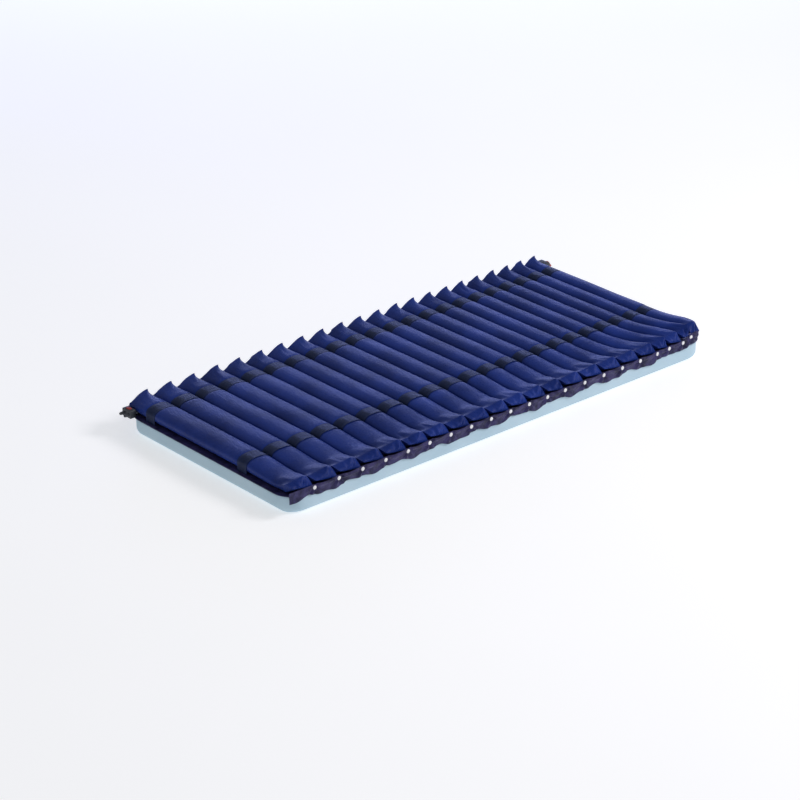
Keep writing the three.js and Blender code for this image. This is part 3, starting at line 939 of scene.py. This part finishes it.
# ---- Base sheet, skirts and press studs ----


def blend_over(piece):
    """Bakes a piece's placement into its mesh; the piece is not bent across a fold."""
    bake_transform(piece)


def along_places(span, step):
    """Even places along a span, no further apart than a step."""
    count = max(2, math.ceil((span["to"] - span["from"]) / step))
    return np.linspace(span["from"], span["to"], count + 1)


def with_corners(places, start, end):
    """The places with more of them where the plan's corners are rounded."""
    extra = [place for reach in CORNER_STEPS for place in (start + reach * MM, end - reach * MM)
             if places[0] < place < places[-1]]
    return np.array(sorted({*places.tolist(), *extra}))


def stud_places(side, body=None):
    """Where the press studs of a skirt are, or only those on one body."""
    return np.array([stud_after(cell["number"], side) for cell in CELLS[:-1] if body in (None, cell["body"])])


def stud_share(x, side):
    """How far places are from the stud before them to the next one, from 0 to 1."""
    studs = stud_places(side)
    before = np.clip(np.searchsorted(studs, x) - 1, 0, len(studs) - 2)
    return np.clip((x - studs[before]) / (studs[before + 1] - studs[before]), 0, 1)


def skirt_edges(x, side):
    """Heights of a skirt's hem and top edge at places along the mattress."""
    phase = HEM_PHASES[side]
    base, swing, rate = DIP_VARIES
    dip = SKIRT_DIP * np.sin(math.pi * stud_share(x, side) ** DIP_SKEW) ** DIP_FULL
    top = SKIRT_EDGE - dip * (base + swing * np.sin(x * rate + phase)) + near_lift(x, side)
    wave = sum(depth * np.sin(TAU * x / length + times * phase) for length, depth, times in HEM_WAVES)
    taut = smoothstep(x, LIFT_AT[0], LIFT_AT[1]) * (side < 0)
    return SKIRT_HEM + wave * (1 - HEM_TAUT * taut) + near_lift(x, side), top


def crease_star(dx, dz, rng):
    """How far the cloth around a press stud stands out in folds."""
    reach = np.hypot(dx, dz)
    angle = np.arctan2(dz, dx)
    grows = smoothstep(reach, *STAR_START)
    out = 0.0
    for heading, width, depth in STAR_FOLDS:
        turn = angle - math.radians(heading + rng.uniform(-STAR_TURN, STAR_TURN))
        turn = (turn + math.pi) % TAU - math.pi
        fall = np.exp(-reach / (STAR_REACH * rng.uniform(*STAR_REACH_VARIES)))
        out = out + depth * MM * fall * grows * np.exp(-((turn / math.radians(width)) ** 2))
    return out


def skirt_points(places, side, end):
    """A skirt's rows, from its hem up."""
    edge_line, top = skirt_edges(places, side)
    rows = np.linspace(0, 1, SKIRT_ROWS + 1)
    x = places - SLANT * smoothstep(places, end - SLANT_REACH, end) * (1 - rows[:, None])
    z = edge_line + (top - edge_line) * rows[:, None]
    billow = BILLOW * np.sin(math.pi * stud_share(places, side))
    wave = HEM_OUT * (0.5 + 0.5 * np.sin(places * HEM_OUT_RATE + side))
    out = billow * rows[:, None] + wave * (1 - rows[:, None])
    for number, stud in enumerate(stud_places(side)):
        middle = STUD_Z + float(near_lift(stud, side))
        out = out + crease_star(x - stud, z - middle, np.random.default_rng([number, side + 1]))
    return np.stack([x, side * (SKIRT_Y + SKIRT_OUT + out), z], axis=2)


def make_panels():
    """The flat of the base sheet, with rounded plan corners."""
    start, end = section_ends("base_sheet")
    across = np.linspace(-1, 1, SHEET_COLUMNS)
    for span in fold_spans(start, end):
        places = with_corners(along_places(span, 2 * SKIRT_STEP), start, end)
        half = [SHEET_HALF - rounded(min(x - start, end - x), FOAM_CORNER) for x in places]
        points = np.stack(np.broadcast_arrays(places[:, None], np.outer(half, across), SHEET_Z), axis=2)
        panel = solidify(grid_piece(f"base_panel_{span['tag']}", points), SHEET_THICKNESS)
        dress(panel, SHEET_CLOTH)
        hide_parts(*[f"base_sheet_{name}" for name in span["names"]])
        blend_over(panel)


def make_skirts():
    """The base sheet's upturned sides, which hang from the studs."""
    start, end = section_ends("base_sheet")
    first, last = start + SKIRT_SHORT[0], end - SKIRT_SHORT[1]
    for label, side in SIDES.items():
        for span in fold_spans(first, last):
            places = along_places(span, SKIRT_STEP)
            points = skirt_points(places, side, last)
            skirt = solidify(grid_piece(f"skirt_{label}_{span['tag']}", points), SHEET_THICKNESS)
            dress(skirt, SHEET_CLOTH)
            blend_over(skirt)


STUD_PROFILE = [(0, 6.2), (0.4, 7.0), (1.1, 7.2), (1.7, 6.9), (1.9, 6.0), (1.8, 5.3), (2.3, 4.6), (2.9, 3.4),
                (3.2, 2.2), (3.25, 1.3), (3.0, 0.9), (2.9, 0.3)]


def make_studs():
    for label, side in SIDES.items():
        y = side * (SKIRT_Y + STUD_OUT)
        for section in SECTIONS:
            studs = [lathe(STUD_PROFILE, (x, y, STUD_Z + float(near_lift(x, side))), (1, side))
                     for x in stud_places(side, section)]
            piece = join(f"studs_{label}_{section}", studs)
            dress(piece, STUD_PLASTIC)
            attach(piece, section)


# ---- Foam slab ----


def rounded(distance, radius):
    """How far a rounded edge has drawn in at a distance from the end."""
    short = np.clip(radius - distance, 0, radius)
    return radius - math.sqrt(max(radius * radius - short * short, 0))


def foam_ring(x, start, end, high):
    """The slab's outline at a place along the mattress, from the middle of its underside and round."""
    ends = max(min(x - start, end - x), CORNER_STEPS[0] * MM)
    side = high.y - rounded(ends, FOAM_CORNER)
    top = high.z - rounded(ends, FOAM_TOP_RADIUS)
    under = rounded(ends, FOAM_UNDER_RADIUS)
    under_y, under_z = side - FOAM_UNDER_RADIUS, under + FOAM_UNDER_RADIUS
    top_y, top_z = side - FOAM_TOP_RADIUS, top - FOAM_TOP_RADIUS
    quarter = np.arange(FOAM_EDGE_STEPS + 1) / FOAM_EDGE_STEPS * math.pi / 2
    half = [(y, under) for y in np.linspace(0, under_y, FOAM_FLAT_STEPS)[:-1]]
    half += [(under_y + FOAM_UNDER_RADIUS * math.sin(a), under_z - FOAM_UNDER_RADIUS * math.cos(a))
             for a in quarter]
    half += [(side, under_z + (top_z - under_z) * share) for share in FOAM_SIDE_SHARES]
    half += [(top_y + FOAM_TOP_RADIUS * math.cos(a), top_z + FOAM_TOP_RADIUS * math.sin(a)) for a in quarter]
    half += [(y, top) for y in np.linspace(top_y, 0, FOAM_FLAT_STEPS)[1:]]
    ring = half + [(-y, z) for y, z in half[-2:0:-1]]
    points = np.array([(x, y, z) for y, z in ring])
    swell = np.sin(math.pi * np.clip((points[:, 2] - under) / (top - under), 0, 1))
    soft = sum(depth * np.sin(points[:, 0] * rate + phase * np.sign(points[:, 1]))
               for depth, rate, phase in FOAM_RIPPLES)
    edge = np.abs(points[:, 1]) > side - FOAM_SIDE_BAND
    points[:, 1] += np.sign(points[:, 1]) * edge * swell * (soft - FOAM_TUCK)
    return points


def make_foam():
    start, end = section_ends("foam_base")
    _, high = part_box("foam_base_back")
    for span in fold_spans(start, end):
        places = with_corners(along_places(span, FOAM_STEP), start, end)
        rings = [foam_ring(x, start, end, high) for x in places]
        piece = grid_piece(f"foam_{span['tag']}", rings, tube=True)
        dress(piece, FOAM)
        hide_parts(*[f"foam_base_{name}" for name in span["names"]])
        blend_over(piece)


# ---- Air line and fittings ----

# The two tubes across the mattress, for odd and even cells, side by side as one strip
TUBE_ROWS = (416 * MM, 425 * MM)
TUBE_RADIUS = 4 * MM
TUBE_STEP = 12 * MM
TUBE_ARC_STEPS = 12
SPOUT_SINK = 0.8 * MM
# Turned profiles: distance along the axis and radius in mm
SPOUT_PROFILE = [(0, 3.2), (1.2, 3.1), (1.6, 2.4), (3.0, 2.4), (3.2, 2.9), (4.4, 2.4), (5.4, 2.3)]
SCREW_PROFILE = [(0, 2.0), (0.5, 2.2), (0.9, 2.0), (1.0, 1.2), (0.6, 0.9), (0.5, 0.2)]
BARB_PROFILE = [(-1, 7.0), (1.6, 7.0), (2.0, 5.4), (6, 5.4), (6.2, 6.0), (9, 5.2), (9.2, 6.0), (12, 5.2),
                (12.2, 6.0), (15, 5.0), (17.4, 4.6), (17.8, 4.0), (17.8, 3.2), (10, 3.1)]
COLLAR_PROFILE = [(-2.0, 18.6), (0.6, 18.6), (1.0, 18.2), (1.0, 6.0)]
KNOB_PROFILE = [(0, 16.2), (0.6, 17.0), (7.6, 17.0), (8.6, 16.2), (9.0, 14.8), (8.4, 13.6), (8.4, 0.4)]
KNOB_RIM = (1, 2)
SHAFT_PROFILE = [(-9, 5.0), (0.5, 5.0)]
SMALL_SEGMENTS = 20
COLLAR_SEGMENTS = 48
KNOB_SEGMENTS = 96

# Hose inlet: its spigots' reach and place, its top and edge, and its screws (beside the middle, down)
SPIGOT_REACH = 18 * MM
SPIGOT_BESIDE = 12.5 * MM
SPIGOT_Z = 81 * MM
INLET_TOP = 1.2 * MM
INLET_EDGE = 3 * MM
INLET_SCREW = (18 * MM, 1.3 * MM)
# The low rims beside its button: place, half width, extra length, depth and height, edge
RIM_BESIDE = 11.6 * MM
RIM_HALF = 0.8 * MM
RIM_LONGER = 1.6 * MM
RIM_HEIGHT = (1.6 * MM, 0.2 * MM)
RIM_EDGE = 0.5 * MM
# The button's edge, and the ribs across it: places, half width, shortness, depth and height, edge
BUTTON_EDGE = 1.5 * MM
RIB_PLACES = (-3 * MM, 0, 3 * MM)
RIB_HALF = 0.6 * MM
RIB_SHORT = 3 * MM
RIB_HEIGHT = (0.6 * MM, 0.5 * MM)
RIB_EDGE = 0.35 * MM

# Release valve: its face, edge and screws (beside the middle, up, back), and its knob
VALVE_FACE = 1 * MM
VALVE_EDGE = 3.5 * MM
VALVE_SCREW = (18.5 * MM, 5.5 * MM, 1.2 * MM)
KNOB_Z = 88 * MM
KNOB_REACH = 16 * MM
FLUTE_COUNT = 24
FLUTE_DEPTH = 0.55 * MM
GRIP_FROM = 7.5 * MM
GRIP_HALF = (14 * MM, 3.5 * MM)
GRIP_EDGE = 1.8 * MM


def make_air_line():
    low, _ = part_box("air_line_calf")
    centre_z = low.z + TUBE_RADIUS
    ring = []
    for middle, first in ((TUBE_ROWS[1], -90), (TUBE_ROWS[0], 90)):
        for step in range(TUBE_ARC_STEPS + 1):
            angle = math.radians(first + 180 * step / TUBE_ARC_STEPS)
            ring.append((middle + TUBE_RADIUS * math.cos(angle), centre_z + TUBE_RADIUS * math.sin(angle)))
    for span in fold_spans(*section_ends("air_line")):
        places = along_places(span, TUBE_STEP)
        points = [[(x, y, z) for y, z in ring] for x in places]
        parts = [grid_piece("tube", points, tube=True)]
        for cell in CELLS:
            if span["from"] <= cell["centre"] < span["to"]:
                middle = TUBE_ROWS[(cell["number"] - 1) % 2]
                foot = (cell["centre"], middle, centre_z + TUBE_RADIUS - SPOUT_SINK)
                parts.append(lathe(SPOUT_PROFILE, foot, (2, 1), SMALL_SEGMENTS))
        piece = join(f"air_tubes_{span['tag']}", parts)
        dress(piece, TUBE_PLASTIC)
        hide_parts(*[f"air_line_{name}" for name in span["names"]])
        blend_over(piece)


def inlet_button(low, high):
    """The latch button with ribs across its top."""
    parts = [block(low, high, BUTTON_EDGE)]
    for place in RIB_PLACES:
        x = (low.x + high.x) / 2 + place
        parts.append(block((x - RIB_HALF, low.y + RIB_SHORT, high.z - RIB_HEIGHT[0]),
                           (x + RIB_HALF, high.y - RIB_SHORT, high.z + RIB_HEIGHT[1]), RIB_EDGE))
    return join("inlet_latch", parts)


def make_inlet():
    low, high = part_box("hose_inlet_body")
    button_low, button_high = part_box("hose_inlet_button")
    face = low.x + SPIGOT_REACH
    middle = (low.y + high.y) / 2
    parts = [block((face, low.y, low.z), (high.x, high.y, high.z - INLET_TOP), INLET_EDGE)]
    for sign in (-1, 1):
        parts.append(lathe(BARB_PROFILE, (face, middle + sign * SPIGOT_BESIDE, SPIGOT_Z), (0, -1)))
        rim_y = middle + sign * RIM_BESIDE
        parts.append(block((button_low.x - RIM_LONGER, rim_y - RIM_HALF, high.z - RIM_HEIGHT[0]),
                           (button_high.x + RIM_LONGER, rim_y + RIM_HALF, high.z + RIM_HEIGHT[1]), RIM_EDGE))
        screw = ((face + high.x) / 2, middle + sign * INLET_SCREW[0], high.z - INLET_SCREW[1])
        parts.append(lathe(SCREW_PROFILE, screw, (2, 1), SMALL_SEGMENTS))
    body = join("hose_inlet", parts)
    dress(body, FITTING_PLASTIC)
    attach(body, "calf")
    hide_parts("hose_inlet_body")
    button = inlet_button(button_low, button_high)
    dress(button, CONTROL_PLASTIC)
    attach(button, "inlet_button")
    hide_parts("hose_inlet_button")


def make_valve():
    low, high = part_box("release_valve_body")
    middle = (low.y + high.y) / 2
    front = high.x - VALVE_FACE
    parts = [block(low, (front, high.y, high.z), VALVE_EDGE)]
    parts.append(lathe(COLLAR_PROFILE, (front, middle, KNOB_Z), (0, 1), COLLAR_SEGMENTS))
    for sign in (-1, 1):
        screw = (high.x - VALVE_SCREW[2], middle + sign * VALVE_SCREW[0], low.z + VALVE_SCREW[1])
        parts.append(lathe(SCREW_PROFILE, screw, (0, 1), SMALL_SEGMENTS))
    body = join("release_valve", parts)
    dress(body, FITTING_PLASTIC)
    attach(body, "back")
    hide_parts("release_valve_body")
    _, knob_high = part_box("release_valve_knob")
    face = knob_high.x - KNOB_REACH
    grip = block((face + GRIP_FROM, middle - GRIP_HALF[0], KNOB_Z - GRIP_HALF[1]),
                 (knob_high.x, middle + GRIP_HALF[0], KNOB_Z + GRIP_HALF[1]), GRIP_EDGE)
    flutes = FLUTE_DEPTH * (0.5 + 0.5 * np.cos(FLUTE_COUNT * np.arange(KNOB_SEGMENTS) * TAU / KNOB_SEGMENTS))
    disc = lathe(KNOB_PROFILE, (face, middle, KNOB_Z), (0, 1), KNOB_SEGMENTS, flutes, KNOB_RIM)
    shaft = lathe(SHAFT_PROFILE, (face, middle, KNOB_Z), (0, 1))
    knob = join("release_knob_cap", [disc, grip, shaft])
    dress(knob, CONTROL_PLASTIC)
    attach(knob, "release_knob")
    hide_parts("release_valve_knob")


make_camera()
make_light()
make_floor()
make_foam()
make_panels()
make_skirts()
make_studs()
make_cells()
make_loops()
make_air_line()
make_inlet()
make_valve()
